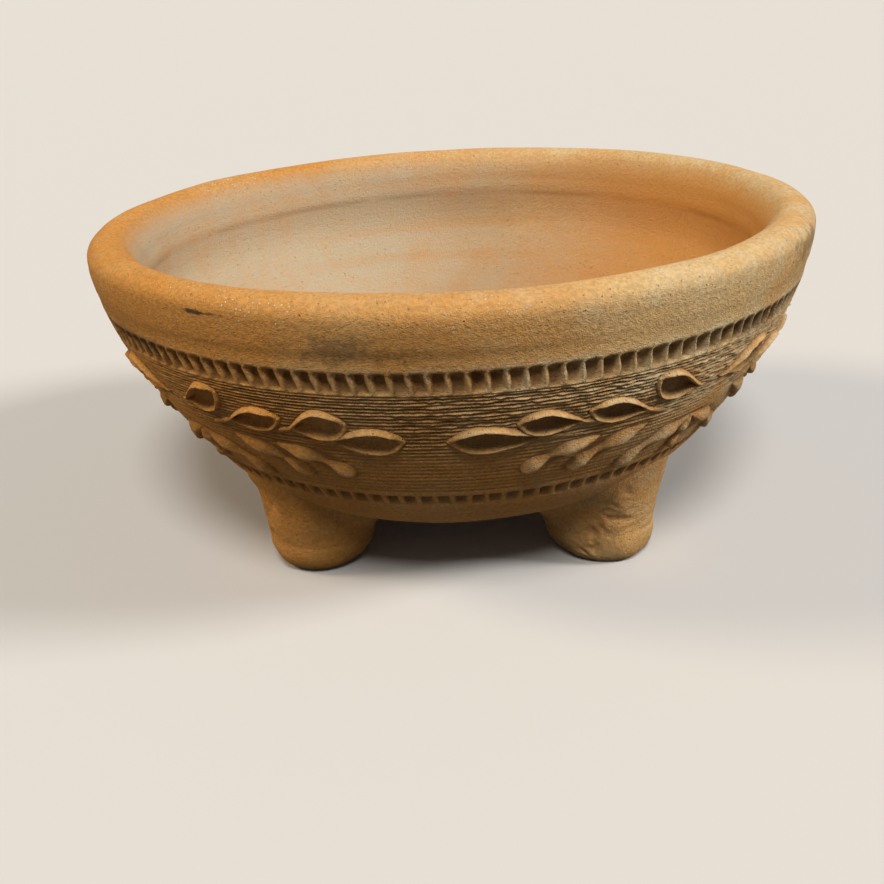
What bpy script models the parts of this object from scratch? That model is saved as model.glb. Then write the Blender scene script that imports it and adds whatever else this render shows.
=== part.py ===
# Footed planter bowl of unglazed red clay: a thrown bowl with a rolled rim, four stub feet luted
# under it, and four leaf sprays made of small clay pads pressed onto its wall above the feet.
# Metres, +Z up, standing on the floor at z = 0, the middle of the bowl on the Z axis.
import math

import bmesh
import bpy

# Overall sizes
RIM_DIAMETER = 0.300      # over the outside of the rim
HEIGHT = 0.1353           # floor to the top of the rim
BASE_CLEARANCE = 0.0170   # floor to the flat underside of the bowl

# Bowl
RIM_WIDTH = 0.0199        # thickness of the rolled rim
RIM_CROWN = 0.0062        # how far the rim's rounded top stands above its widest line
RIM_CREST = 0.45          # place of the rim's highest line, as a share of its width from the outside
RIM_INNER_DROP = 0.0150   # how far the roll falls from its highest line to the inside of the bowl
WALL_THICKNESS = 0.0115
RIM_SWELL_START = 0.0900  # height at which the wall begins to thicken into the rim
WALL_FLARE = 0.352        # share of the rim radius that the wall draws in down to its lower line
WALL_POWER = 1.68         # how the wall bows between its lower line and the rim
WALL_LOW_LINE = 0.0288    # height of that lower line
BELLY_LINE = 0.0434       # height at which the wall turns under into the base
BELLY_TURN = 0.0119       # how sharply it turns: drop of the curve's handle at the belly line
BASE_TURN = 0.0300        # length of the curve's handle at the flat base
BASE_FLAT_RADIUS = 0.045
DRAIN_RADIUS = 0.009
ROUND_STEPS = 72
BASE_ROWS = 6
WALL_ROWS = 11
CROWN_ROWS = 4

# Band of notches, stamped round the wall with a toothed roller
NOTCH_COUNT = 145
NOTCH_BAND = (0.1027, 0.1109)
NOTCH_DEPTH = 0.0020
NOTCH_SHARE = 0.68        # width of a notch as a share of the step from one to the next
NOTCH_SETBACK = 0.0010    # how far the roller's tooth stands clear of the wall

# Feet
FOOT_COUNT = 4
FOOT_FIRST_ANGLE = 45.0   # degrees from the front, towards the right
FOOT_CIRCLE_RADIUS = 0.0840
FOOT_LEAN = 0.0038        # how far the foot's axis moves inwards over its height
FOOT_HEIGHT = 0.052       # length of the stub before its top is cut to the bowl
FOOT_PAD_RADIUS = 0.0115  # flat patch that touches the floor
FOOT_RADIUS = 0.0230      # at the top of the rounded lower edge
FOOT_TOP_RADIUS = 0.0310
FOOT_EDGE = 0.0140        # height of the rounded lower edge
FOOT_SIDES = 28
FOOT_EDGE_ROWS = 5
FOOT_STEM_ROWS = 3

# Leaf pads
SPRAY_TURN = -2.2         # degrees by which the sprays were set round from the middle of the feet
LEAF_RIM_HEIGHT = 0.0021
LEAF_DISH_HEIGHT = 0.0008
LEAF_EDGE_HEIGHT = 0.0009
RIB_HEIGHT = 0.0024
SEAM = 0.0003             # slip joint between neighbouring pieces
LEAF_POINTS = 12
LEAF_HEART = 0.62         # widest point of a leaf, as a share of its length from the tail

RIM_R = RIM_DIAMETER / 2
RIM_LINE = HEIGHT - RIM_CROWN


def make_material(name, color, roughness):
    mat = bpy.data.materials.new(name)
    mat.use_nodes = True
    shader = mat.node_tree.nodes["Principled BSDF"]
    shader.inputs["Base Color"].default_value = (*color, 1.0)
    shader.inputs["Roughness"].default_value = roughness
    return mat


def make_object(name, bm, color, roughness=0.85, smooth=True):
    bmesh.ops.recalc_face_normals(bm, faces=bm.faces)
    mesh = bpy.data.meshes.new(name)
    bm.to_mesh(mesh)
    bm.free()
    for face in mesh.polygons:
        face.use_smooth = smooth
    obj = bpy.data.objects.new(name, mesh)
    bpy.context.scene.collection.objects.link(obj)
    mesh.materials.append(make_material(name + "_clay", color, roughness))
    return obj


def apply_boolean(target, other, operation):
    mod = target.modifiers.new("joint", "BOOLEAN")
    mod.operation = operation
    mod.solver = "EXACT"
    mod.object = other
    graph = bpy.context.evaluated_depsgraph_get()
    mesh = bpy.data.meshes.new_from_object(target.evaluated_get(graph))
    target.modifiers.remove(mod)
    old = target.data
    target.data = mesh
    bpy.data.meshes.remove(old)
    bpy.data.objects.remove(other, do_unlink=True)


def wall_radius(z):
    """Outside radius of the wall between the belly line and the rim."""
    t = min(max((z - WALL_LOW_LINE) / (RIM_LINE - WALL_LOW_LINE), 0.0), 1.0)
    return RIM_R * (1.0 - WALL_FLARE * (1.0 - t) ** WALL_POWER)


def wall_slope(z):
    step = 1e-5
    return (wall_radius(z + step) - wall_radius(z - step)) / (2 * step)


def outer_curve():
    """Outside of the bowl from the flat base up to the widest line of the rim, as (r, z)."""
    belly = (wall_radius(BELLY_LINE), BELLY_LINE)
    turn = (belly[0] - wall_slope(BELLY_LINE) * BELLY_TURN, BELLY_LINE - BELLY_TURN)
    under = (BASE_FLAT_RADIUS + BASE_TURN, BASE_CLEARANCE)
    flat = (BASE_FLAT_RADIUS, BASE_CLEARANCE)
    pts = []
    for i in range(BASE_ROWS):
        t = i / BASE_ROWS
        weights = ((1 - t) ** 3, 3 * t * (1 - t) ** 2, 3 * t * t * (1 - t), t ** 3)
        handles = (flat, under, turn, belly)
        pts.append(tuple(sum(w * h[k] for w, h in zip(weights, handles)) for k in (0, 1)))
    for i in range(WALL_ROWS):
        z = BELLY_LINE + (RIM_LINE - BELLY_LINE) * i / (WALL_ROWS - 1)
        pts.append((wall_radius(z), z))
    return pts


def shifted(pts, amount):
    """Move a curve along its own normals; amount(z) is positive towards the inside."""
    out = []
    for i, (r, z) in enumerate(pts):
        a, b = pts[max(i - 1, 0)], pts[min(i + 1, len(pts) - 1)]
        if i == 0:
            a, b = (0.0, 0.0), (1.0, 0.0)
        dr, dz = b[0] - a[0], b[1] - a[1]
        size = math.hypot(dr, dz)
        out.append((r - dz / size * amount(z), z + dr / size * amount(z)))
    return out


def wall_depth(z):
    """Thickness of the wall, which swells into the rim."""
    full = HEIGHT - RIM_INNER_DROP
    t = min(max((z - RIM_SWELL_START) / (full - RIM_SWELL_START), 0.0), 1.0)
    return WALL_THICKNESS + (RIM_WIDTH - WALL_THICKNESS) * t * t * (3 - 2 * t)


def revolve(loop, steps, closed):
    """Turn a curve of (r, z) round the axis; a closed loop makes a ring, an open one gets two caps."""
    bm = bmesh.new()
    rings = []
    for k in range(steps):
        ang = 2 * math.pi * k / steps
        rings.append([bm.verts.new((r * math.cos(ang), r * math.sin(ang), z)) for r, z in loop])
    count = len(loop)
    for k in range(steps):
        one, two = rings[k], rings[(k + 1) % steps]
        for i in range(count if closed else count - 1):
            j = (i + 1) % count
            bm.faces.new((one[i], two[i], two[j], one[j]))
    if not closed:
        bm.faces.new([ring[0] for ring in reversed(rings)])
        bm.faces.new([ring[-1] for ring in rings])
    return bm


def on_wall(angle, z, lift):
    """A point on the wall at an angle from the front and a height, lifted along the wall's normal."""
    r, slope = wall_radius(z), wall_slope(z)
    size = math.hypot(1.0, slope)
    r, z = r + lift / size, z - lift * slope / size
    return (r * math.sin(angle), -r * math.cos(angle), z)


def stamp_notches(bowl):
    """Press the ring of notches into the wall with a roller whose teeth are small blocks."""
    bm = bmesh.new()
    step = 2 * math.pi / NOTCH_COUNT
    for i in range(NOTCH_COUNT):
        corners = []
        for lift in (-NOTCH_DEPTH, NOTCH_SETBACK):
            for z in NOTCH_BAND:
                for side in (-1, 1):
                    angle = (i + 0.5 * side * NOTCH_SHARE) * step
                    corners.append(bm.verts.new(on_wall(angle, z, lift)))
        a, b, c, d, e, f, g, h = corners
        for face in ((a, b, d, c), (e, f, h, g), (a, b, f, e), (c, d, h, g), (a, c, g, e), (b, d, h, f)):
            bm.faces.new(face)
    teeth = make_object("roller_teeth", bm, (0.5, 0.5, 0.5), smooth=False)
    teeth.hide_render = True
    teeth.display_type = "WIRE"
    apply_boolean(bowl, teeth, "DIFFERENCE")


def build_bowl():
    outside = outer_curve()
    full = HEIGHT - RIM_INNER_DROP
    inside = [point for point in shifted(outside, wall_depth)[::2] if point[1] < full - 0.004]
    crown = []
    reach, fall = RIM_WIDTH * RIM_CREST, RIM_WIDTH * (1 - RIM_CREST)
    for i in range(1, CROWN_ROWS + 1):
        ang = math.pi / 2 * i / CROWN_ROWS
        crown.append((RIM_R - reach * (1 - math.cos(ang)), RIM_LINE + RIM_CROWN * math.sin(ang)))
    for i in range(1, CROWN_ROWS + 1):
        ang = math.pi / 2 * i / CROWN_ROWS
        crown.append((RIM_R - reach - fall * math.sin(ang), full + RIM_INNER_DROP * math.cos(ang)))
    drain = [(DRAIN_RADIUS, inside[0][1]), (DRAIN_RADIUS, BASE_CLEARANCE)]
    loop = outside + crown + inside[::-1] + drain
    stamp_notches(make_object("bowl", revolve(loop, ROUND_STEPS, True), (0.45, 0.23, 0.10)))


def build_foot(name, angle):
    """One stub foot, its top cut to the underside of the bowl."""
    bm = bmesh.new()
    rings = []
    levels = [i / FOOT_EDGE_ROWS for i in range(FOOT_EDGE_ROWS + 1)]
    levels += [1.0 + i / FOOT_STEM_ROWS for i in range(1, FOOT_STEM_ROWS + 1)]
    out = (math.sin(angle), -math.cos(angle))
    for level in levels:
        if level <= 1.0:
            z = FOOT_EDGE * (1 - math.cos(level * math.pi / 2))
            radius = FOOT_PAD_RADIUS + (FOOT_RADIUS - FOOT_PAD_RADIUS) * math.sin(level * math.pi / 2)
        else:
            z = FOOT_EDGE + (FOOT_HEIGHT - FOOT_EDGE) * (level - 1.0)
            radius = FOOT_RADIUS + (FOOT_TOP_RADIUS - FOOT_RADIUS) * (level - 1.0)
        centre = FOOT_CIRCLE_RADIUS - FOOT_LEAN * z / FOOT_HEIGHT
        ring = []
        for k in range(FOOT_SIDES):
            ang = 2 * math.pi * k / FOOT_SIDES
            ring.append(bm.verts.new((centre * out[0] + radius * math.cos(ang),
                                      centre * out[1] + radius * math.sin(ang), z)))
        rings.append(ring)
    for one, two in zip(rings, rings[1:]):
        for k in range(FOOT_SIDES):
            j = (k + 1) % FOOT_SIDES
            bm.faces.new((one[k], one[j], two[j], two[k]))
    bm.faces.new(rings[0][::-1])
    bm.faces.new(rings[-1])
    foot = make_object(name, bm, (0.47, 0.25, 0.11))
    outside = shifted(outer_curve(), lambda z: -SEAM)
    bowl_form = revolve(outside, ROUND_STEPS, False)
    cutter = make_object("bowl_form", bowl_form, (0.5, 0.5, 0.5))
    cutter.hide_render = True
    cutter.display_type = "WIRE"
    apply_boolean(foot, cutter, "DIFFERENCE")
    return foot


def leaf_shape(angle, side, tail, tip, width, bend, neck, rings):
    """A leaf pad on the wall. tail and tip are (degrees from the spray's middle, height);
    neck is the share of the width kept at the tail; rings are (share of the outline, lift)."""
    mid = wall_radius((tail[1] + tip[1]) / 2)
    stretch = math.hypot(1.0, wall_slope((tail[1] + tip[1]) / 2))
    dx = math.radians(tip[0] - tail[0]) * mid
    dy = (tip[1] - tail[1]) * stretch
    length = math.hypot(dx, dy)
    along, across = (dx / length, dy / length), (-dy / length, dx / length)

    def place(t, q, lift):
        q += bend * length * math.sin(math.pi * t)
        x, y = along[0] * t * length + across[0] * q, along[1] * t * length + across[1] * q
        off = math.radians(tail[0]) + x / mid
        return on_wall(angle + side * off, tail[1] + y / stretch, lift)

    outline = []
    for k in range(LEAF_POINTS):
        ang = 2 * math.pi * k / LEAF_POINTS
        t = 0.5 - 0.5 * math.cos(ang)
        even = math.sqrt(max(0.0, math.sin(math.pi * t)))
        drop = max(0.0, math.sin(math.pi * t ** 1.7)) ** 0.75
        half = width / 2 * (neck * even + (1 - neck) * drop)
        outline.append((t, math.copysign(half, math.sin(ang)) if 0 < t < 1 else 0.0))
    bm = bmesh.new()
    loops = []
    for share, lift in rings:
        loops.append([bm.verts.new(place(LEAF_HEART + (t - LEAF_HEART) * share, q * share, lift))
                      for t, q in outline])
    back = loops[0]
    for one, two in zip(loops, loops[1:]):
        for k in range(LEAF_POINTS):
            j = (k + 1) % LEAF_POINTS
            bm.faces.new((one[k], one[j], two[j], two[k]))
    # Back and front are closed with strips across the leaf, so both follow the curve of the wall.
    half = LEAF_POINTS // 2
    for cap in (back, loops[-1]):
        for k in range(half):
            a, b = cap[k], cap[k + 1]
            c, d = cap[-k - 1], cap[-k % LEAF_POINTS]
            quad = []
            for vert in (a, b, c, d):
                if vert not in quad:
                    quad.append(vert)
            bm.faces.new(quad)
    return bm


DISHED = ((1.0, SEAM), (1.0, LEAF_EDGE_HEIGHT), (0.86, LEAF_RIM_HEIGHT), (0.60, LEAF_DISH_HEIGHT))
RIBBED = ((1.0, SEAM), (1.0, LEAF_EDGE_HEIGHT), (0.55, RIB_HEIGHT))


def build_spray(prefix, angle):
    """One spray: two wings of four dished leaves and two plain ones, and a three-lobed middle."""
    wing = (
        ("end_leaf", (27.6, 0.0806), (42.8, 0.0824), 0.0125, 0.02, 0.0, DISHED),
        ("second_leaf", (22.8, 0.0852), (33.0, 0.0884), 0.0110, 0.03, 0.0, DISHED),
        ("third_leaf", (11.4, 0.0834), (22.4, 0.0898), 0.0106, 0.03, 0.0, DISHED),
        ("inner_leaf", (2.4, 0.0880), (12.4, 0.0970), 0.0118, -0.06, 0.0, DISHED),
        ("low_outer_leaf", (19.6, 0.0772), (31.7, 0.0654), 0.0064, 0.06, 0.5, RIBBED),
        ("low_inner_leaf", (11.0, 0.0772), (23.7, 0.0630), 0.0066, 0.06, 0.5, RIBBED),
    )
    for side, hand in ((-1, "left"), (1, "right")):
        for name, tail, tip, width, bend, neck, rings in wing:
            pad = leaf_shape(angle, side, tail, tip, width, bend, neck, rings)
            make_object(f"{prefix}_{hand}_{name}", pad, (0.50, 0.27, 0.12))
    middle = leaf_shape(angle, 1, (0.0, 0.0728), (0.0, 0.0575), 0.0066, 0.0, 0.6, RIBBED)
    lobes = make_object(f"{prefix}_middle_leaves", middle, (0.49, 0.26, 0.12))
    for side in (-1, 1):
        lobe = leaf_shape(angle, side, (-0.2, 0.0726), (13.6, 0.0575), 0.0066, 0.06, 0.6, RIBBED)
        apply_boolean(lobes, make_object("lobe", lobe, (0.49, 0.26, 0.12)), "UNION")


for old in list(bpy.data.objects):
    bpy.data.objects.remove(old, do_unlink=True)

build_bowl()
NAMES = ("front_right", "rear_right", "rear_left", "front_left")
for i in range(FOOT_COUNT):
    turn = math.radians(FOOT_FIRST_ANGLE + 360.0 * i / FOOT_COUNT)
    build_foot("foot_" + NAMES[i], turn)
    build_spray("spray_" + NAMES[i], turn + math.radians(SPRAY_TURN))
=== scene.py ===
import math

import bmesh
import bpy
import numpy as np
from mathutils import Matrix, Vector, noise


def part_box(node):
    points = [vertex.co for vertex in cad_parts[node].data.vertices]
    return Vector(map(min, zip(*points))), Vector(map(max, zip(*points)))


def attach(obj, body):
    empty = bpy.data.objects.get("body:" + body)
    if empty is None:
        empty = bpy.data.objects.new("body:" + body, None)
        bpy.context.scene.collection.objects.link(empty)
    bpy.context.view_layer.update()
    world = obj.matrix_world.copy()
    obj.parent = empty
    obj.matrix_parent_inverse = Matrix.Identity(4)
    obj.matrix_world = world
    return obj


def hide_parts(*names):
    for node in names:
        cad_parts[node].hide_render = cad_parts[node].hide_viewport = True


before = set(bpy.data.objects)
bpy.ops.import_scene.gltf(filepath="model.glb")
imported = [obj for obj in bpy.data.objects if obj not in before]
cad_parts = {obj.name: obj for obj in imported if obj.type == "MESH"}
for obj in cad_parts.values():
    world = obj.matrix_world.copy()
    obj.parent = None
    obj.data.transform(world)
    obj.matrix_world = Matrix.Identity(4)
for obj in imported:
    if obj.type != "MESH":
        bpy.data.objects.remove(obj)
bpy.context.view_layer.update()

# The thrown bowl
# One piece of red clay raised on a wheel: a drain hole in a turned base, and an open wall that thickens into
# a rolled rim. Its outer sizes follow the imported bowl. Lengths are in metres.
BOWL_LOW, BOWL_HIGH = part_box("bowl")
RIM_RADIUS = BOWL_HIGH[0]
RIM_TOP = BOWL_HIGH[2]
BASE_HEIGHT = BOWL_LOW[2]
RIM_WIDTH = 0.0199
RIM_CROWN = 0.0062
RIM_CREST = 0.45             # place of the rim's highest line, as a share of its width from the outside
RIM_LINE = RIM_TOP - RIM_CROWN
RIM_INNER_DROP = 0.0150
RIM_INNER_LINE = RIM_TOP - RIM_INNER_DROP
RIM_JOIN = 0.0015            # least rise from the inner wall's last ring to the rim
RIM_CREASE = 0.1170          # soft line where the roll of the rim meets the shoulder
RIM_CREASE_LOW = RIM_CREASE - 0.0012
RIM_CREASE_HIGH = RIM_CREASE + 0.0030
RIM_CREASE_DEPTH = 0.00035
WALL_THICKNESS = 0.0115
RIM_SWELL_START = 0.0900
WALL_FLARE = 0.352
WALL_POWER = 1.68
WALL_LOW_LINE = 0.0288
WALL_INNER_END = 0.003       # how far below the rim's outer line the inner wall is measured from
BELLY_LINE = 0.0434
BELLY_TURN = 0.0119
BASE_TURN = 0.0300
BASE_FLAT_RADIUS = 0.045
DRAIN_RADIUS = 0.009
DRAIN_EDGE = 0.0016
DRAIN_RING = 0.016           # first plain ring round the drain hole
UPPER_BAND = (0.1027, 0.1109)
LOWER_BAND = (0.0472, 0.0532)
UPPER_TEETH = 145
LOWER_TEETH = 116
BAND_EDGE = 0.0006
BELOW_BAND = 0.0008          # plain rings keep this far from a stamped band
ABOVE_BAND = 0.0012
COMB_LOW = 0.0540
COMB_HIGH = 0.1022
COMB_STEP_LOW = 0.0021       # the comb's lines lie closer together towards the top
COMB_STEP_HIGH = 0.00128
COMB_FAINT = 10              # lowest lines, which are faint
FAINT_RINGS = 3              # rings of points for each comb line
DEEP_RINGS = 4.4
FINE_SIDES = 1305
MID_SIDES = 435
PLAIN_SIDES = 145


def wall_radius(z):
    t = np.clip((z - WALL_LOW_LINE) / (RIM_LINE - WALL_LOW_LINE), 0.0, 1.0)
    return RIM_RADIUS * (1.0 - WALL_FLARE * (1.0 - t) ** WALL_POWER)


def wall_slope(z):
    nudge = 1e-5
    return (wall_radius(z + nudge) - wall_radius(z - nudge)) / (2 * nudge)


def smooth(low, high, value):
    t = min(max((value - low) / (high - low), 0.0), 1.0)
    return t * t * (3 - 2 * t)


def steps(low, high, count):
    return [low + (high - low) * i / count for i in range(count)]


def base_curve(rows):
    """The turned underside, from the flat base out to the belly line."""
    belly = (float(wall_radius(BELLY_LINE)), BELLY_LINE)
    turn = (belly[0] - float(wall_slope(BELLY_LINE)) * BELLY_TURN, BELLY_LINE - BELLY_TURN)
    under = (BASE_FLAT_RADIUS + BASE_TURN, BASE_HEIGHT)
    handles = ((BASE_FLAT_RADIUS, BASE_HEIGHT), under, turn, belly)
    points = []
    for t in steps(0.0, 1.0, rows):
        weights = ((1 - t) ** 3, 3 * t * (1 - t) ** 2, 3 * t * t * (1 - t), t ** 3)
        points.append(tuple(sum(w * h[k] for w, h in zip(weights, handles)) for k in (0, 1)))
    return points


def band_rows(band):
    """Heights of the rings that draw the edges and the floor of a stamped band."""
    low, high = band
    edge = BAND_EDGE
    inner = steps(low + 1.4 * edge, high - 1.4 * edge, 3) + [high - 1.4 * edge]
    return [low - 0.4 * edge, low + 0.5 * edge] + inner + [high - 0.5 * edge, high + 0.4 * edge]


comb_rate = (COMB_STEP_HIGH - COMB_STEP_LOW) / (COMB_HIGH - COMB_LOW)
comb_lines = math.log(COMB_STEP_HIGH / COMB_STEP_LOW) / comb_rate


def comb_height(line):
    """Height of a comb line counted from the lowest."""
    return COMB_LOW + COMB_STEP_LOW * (math.exp(comb_rate * line) - 1) / comb_rate


comb_rings = steps(0.0, COMB_FAINT, FAINT_RINGS * COMB_FAINT)
comb_rings += steps(COMB_FAINT, comb_lines, int(DEEP_RINGS * (comb_lines - COMB_FAINT))) + [comb_lines]
wall_heights = [(z, MID_SIDES) for z in steps(BELLY_LINE, LOWER_BAND[0] - BELOW_BAND, 3)]
wall_heights += [(z, FINE_SIDES) for z in band_rows(LOWER_BAND)]
wall_heights += [(comb_height(line), MID_SIDES) for line in comb_rings]
wall_heights += [(z, FINE_SIDES) for z in band_rows(UPPER_BAND)]
wall_heights += [(z, MID_SIDES) for z in steps(UPPER_BAND[1] + ABOVE_BAND, RIM_LINE, 12)]

# Each row is (radius, height, sides, share that belongs to the inside of the bowl).
rows = [(DRAIN_RADIUS + DRAIN_EDGE, BASE_HEIGHT, PLAIN_SIDES, 0.0)]
rows += [(r, BASE_HEIGHT, PLAIN_SIDES, 0.0) for r in steps(DRAIN_RING, BASE_FLAT_RADIUS, 5)]
rows += [(r, z, PLAIN_SIDES, 0.0) for r, z in base_curve(16)]
for z, sides in wall_heights:
    crease = RIM_CREASE_DEPTH * (1 - smooth(RIM_CREASE_LOW, RIM_CREASE_HIGH, z))
    crease *= smooth(UPPER_BAND[1], RIM_CREASE_LOW, z)
    rows.append((float(wall_radius(z)) - crease, z, sides, 0.0))
rim_out, rim_in = RIM_WIDTH * RIM_CREST, RIM_WIDTH * (1 - RIM_CREST)
for i in range(8):
    turn = math.pi / 2 * i / 8
    r, z = RIM_RADIUS - rim_out * (1 - math.cos(turn)), RIM_LINE + RIM_CROWN * math.sin(turn)
    rows.append((r, z, MID_SIDES, 0.0))
for i in range(11):
    turn = math.pi / 2 * i / 10
    r, z = RIM_RADIUS - rim_out - rim_in * math.sin(turn), RIM_TOP - RIM_INNER_DROP * (1 - math.cos(turn))
    rows.append((r, z, MID_SIDES, smooth(0.2, 0.9, i / 10)))
outer_path = base_curve(12)
outer_path += [(float(wall_radius(z)), z) for z in steps(BELLY_LINE, RIM_LINE - WALL_INNER_END, 26)]
inner_path = []
for i, (r, z) in enumerate(outer_path):
    before, after = outer_path[max(i - 1, 0)], outer_path[min(i + 1, len(outer_path) - 1)]
    dr, dz = (1.0, 0.0) if i == 0 else (after[0] - before[0], after[1] - before[1])
    size = math.hypot(dr, dz)
    depth = WALL_THICKNESS + (RIM_WIDTH - WALL_THICKNESS) * smooth(RIM_SWELL_START, RIM_INNER_LINE, z)
    if z + dr / size * depth < RIM_INNER_LINE - RIM_JOIN:
        inner_path.append((r - dz / size * depth, z + dr / size * depth))
rows += [(r, z, PLAIN_SIDES, 1.0) for r, z in reversed(inner_path)]
floor_height = inner_path[0][1]
rows += [(r, floor_height, PLAIN_SIDES, 1.0) for r in reversed(steps(DRAIN_RING, BASE_FLAT_RADIUS, 5))]
rows += [(DRAIN_RADIUS + DRAIN_EDGE, floor_height, PLAIN_SIDES, 1.0),
         (DRAIN_RADIUS, floor_height - DRAIN_EDGE, PLAIN_SIDES, 1.0),
         (DRAIN_RADIUS, (floor_height + BASE_HEIGHT) / 2, PLAIN_SIDES, 0.5),
         (DRAIN_RADIUS, BASE_HEIGHT + DRAIN_EDGE, PLAIN_SIDES, 0.0)]


def turned_mesh(name, rows):
    """A ring-shaped solid from rows that may have unlike numbers of sides, each a multiple of the next."""
    places, starts, inside, faces = [], [], [], []
    for r, z, sides, share in rows:
        starts.append(len(places))
        for k in range(sides):
            angle = 2 * math.pi * k / sides
            places.append((r * math.cos(angle), r * math.sin(angle), z))
            inside.append(share)
    for i, row in enumerate(rows):
        j = (i + 1) % len(rows)
        one, two, m, n = starts[i], starts[j], row[2], rows[j][2]
        if m == n:
            faces += [(one + k, one + (k + 1) % m, two + (k + 1) % n, two + k) for k in range(m)]
            continue
        few, many, ratio = min(m, n), max(m, n), max(m, n) // min(m, n)
        coarse, fine = (one, two) if m < n else (two, one)
        for k in range(few):
            corner, following = coarse + k, coarse + (k + 1) % few
            edge = [fine + (k * ratio + q) % many for q in range(ratio + 1)]
            half = ratio // 2
            fans = [(corner, edge[q], edge[q + 1]) for q in range(half)]
            fans.append((corner, edge[half], following))
            fans += [(following, edge[q], edge[q + 1]) for q in range(half, ratio)]
            faces += [fan if m > n else fan[::-1] for fan in fans]
    mesh = bpy.data.meshes.new(name)
    mesh.from_pydata(places, [], faces)
    mesh.attributes.new("inside", "FLOAT", "POINT").data.foreach_set("value", inside)
    mesh.attributes.new("recess", "FLOAT", "POINT")
    shape = bmesh.new()
    shape.from_mesh(mesh)
    bmesh.ops.recalc_face_normals(shape, faces=shape.faces)
    shape.to_mesh(mesh)
    shape.free()
    mesh.shade_smooth()
    return mesh


bowl_mesh = turned_mesh("thrown_bowl", rows)


# The clay
# Coarse red earthenware, fired without a glaze: an ochre body with painted warm light on its left, painted
# pale light on its right, painted warm shade low on the wall and a painted highlight on the rim, with sandy
# grain, pits where grit fell out, specks of lime, and dirt and painted shade in what was pressed in.
CLAY_BODY = (0.78, 0.480, 0.186)
CLAY_WARM = (0.70, 0.310, 0.064)
CLAY_PALE = (0.80, 0.615, 0.350)
# Colour of dirt and of painted shade.
CLAY_DIRT_AND_SHADE = (0.115, 0.054, 0.020)
CLAY_LIME = (0.88, 0.77, 0.57)
CLAY_SOOT = (0.060, 0.042, 0.028)
WARM_LIGHT_SIDE = (-0.13, 0.08)    # x from where the painted warm light is fullest to where it ends
LOW_SHADE_WARMTH = (0.105, 0.060)    # height from where the painted warm shade low on the wall starts to where it is fullest
BLOOM_AND_LIGHT_SIDE = (-0.09, 0.06)   # x from where the pale bloom and painted pale light are thin to where they are full
PALE_LIGHT_SIDE = (-0.02, 0.13)    # x over which painted pale light makes the whole clay paler
RIM_HIGHLIGHT_SIDE = (-0.08, 0.03)
RIM_HIGHLIGHT_HEIGHT = (0.120, 0.132)   # height over which a painted highlight makes the rim paler
GRAIN = (0.3, 0.7)           # span of noise values that makes up nearly all of a pattern


def feed(tree, socket, value):
    """Link another node's output to a socket, or set the socket to a plain number, vector or colour."""
    if isinstance(value, bpy.types.NodeSocket):
        tree.links.new(value, socket)
    else:
        socket.default_value = (*value, 1.0) if socket.type == "RGBA" else value


def calc(tree, operation, *values):
    """A math node in a shader or geometry tree. A sum or product may have more than two terms."""
    if operation in ("ADD", "MULTIPLY") and len(values) > 2:
        values = (calc(tree, operation, *values[:-1]), values[-1])
    node = tree.nodes.new("ShaderNodeMath")
    node.operation = operation
    for socket, value in zip(node.inputs, values):
        feed(tree, socket, value)
    return node.outputs[0]


def remap(tree, value, low, high, to_low=0.0, to_high=1.0):
    """A smooth step of a value between two limits."""
    node = tree.nodes.new("ShaderNodeMapRange")
    node.interpolation_type = "SMOOTHSTEP"
    labels = ("Value", "From Min", "From Max", "To Min", "To Max")
    for label, entry in zip(labels, (value, low, high, to_low, to_high)):
        feed(tree, node.inputs[label], entry)
    return node.outputs["Result"]


def vector_calc(tree, operation, *values):
    """A vector math node. SCALE takes a number as its second value, and LENGTH gives one."""
    node = tree.nodes.new("ShaderNodeVectorMath")
    node.operation = operation
    sockets = (node.inputs[0], node.inputs["Scale"]) if operation == "SCALE" else node.inputs
    for socket, value in zip(sockets, values):
        feed(tree, socket, value)
    return node.outputs["Value" if operation == "LENGTH" else "Vector"]


def axes(tree, vector):
    """The x, y and z of a vector."""
    node = tree.nodes.new("ShaderNodeSeparateXYZ")
    tree.links.new(vector, node.inputs[0])
    return tuple(node.outputs)


def stretched(tree, vector, scale):
    """A vector scaled unlike along its axes, which draws a pattern out into streaks."""
    return vector_calc(tree, "MULTIPLY", vector, scale)


def noise_value(tree, vector, scale, detail=3.0, roughness=0.5):
    node = tree.nodes.new("ShaderNodeTexNoise")
    node.inputs["Scale"].default_value = scale
    node.inputs["Detail"].default_value = detail
    node.inputs["Roughness"].default_value = roughness
    tree.links.new(vector, node.inputs["Vector"])
    return node.outputs["Fac"]


def dot_distance(tree, vector, scale):
    """Distance to the middle of the nearest of many scattered dots."""
    node = tree.nodes.new("ShaderNodeTexVoronoi")
    node.inputs["Scale"].default_value = scale
    tree.links.new(vector, node.inputs["Vector"])
    return node.outputs["Distance"]


def blend(tree, share, one, two, mode="MIX"):
    """A colour mix; share, one and two are sockets or plain values."""
    node = tree.nodes.new("ShaderNodeMix")
    node.data_type = "RGBA"
    node.blend_type = mode
    for number, value in ((0, share), (6, one), (7, two)):
        feed(tree, node.inputs[number], value)
    return node.outputs[2]


def object_place(tree):
    return tree.nodes.new("ShaderNodeTexCoord").outputs["Object"]


def attribute(tree, name):
    node = tree.nodes.new("ShaderNodeAttribute")
    node.attribute_name = name
    return node.outputs["Fac"]


def shader_group(name, inputs, outputs):
    group = bpy.data.node_groups.new(name, "ShaderNodeTree")
    for label, kind, value in inputs:
        socket = group.interface.new_socket(name=label, in_out="INPUT", socket_type="NodeSocket" + kind)
        socket.default_value = (*value, 1.0) if kind == "Color" else value
    for label, kind in outputs:
        group.interface.new_socket(name=label, in_out="OUTPUT", socket_type="NodeSocket" + kind)
    return group, group.nodes.new("NodeGroupInput").outputs, group.nodes.new("NodeGroupOutput").inputs


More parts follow.
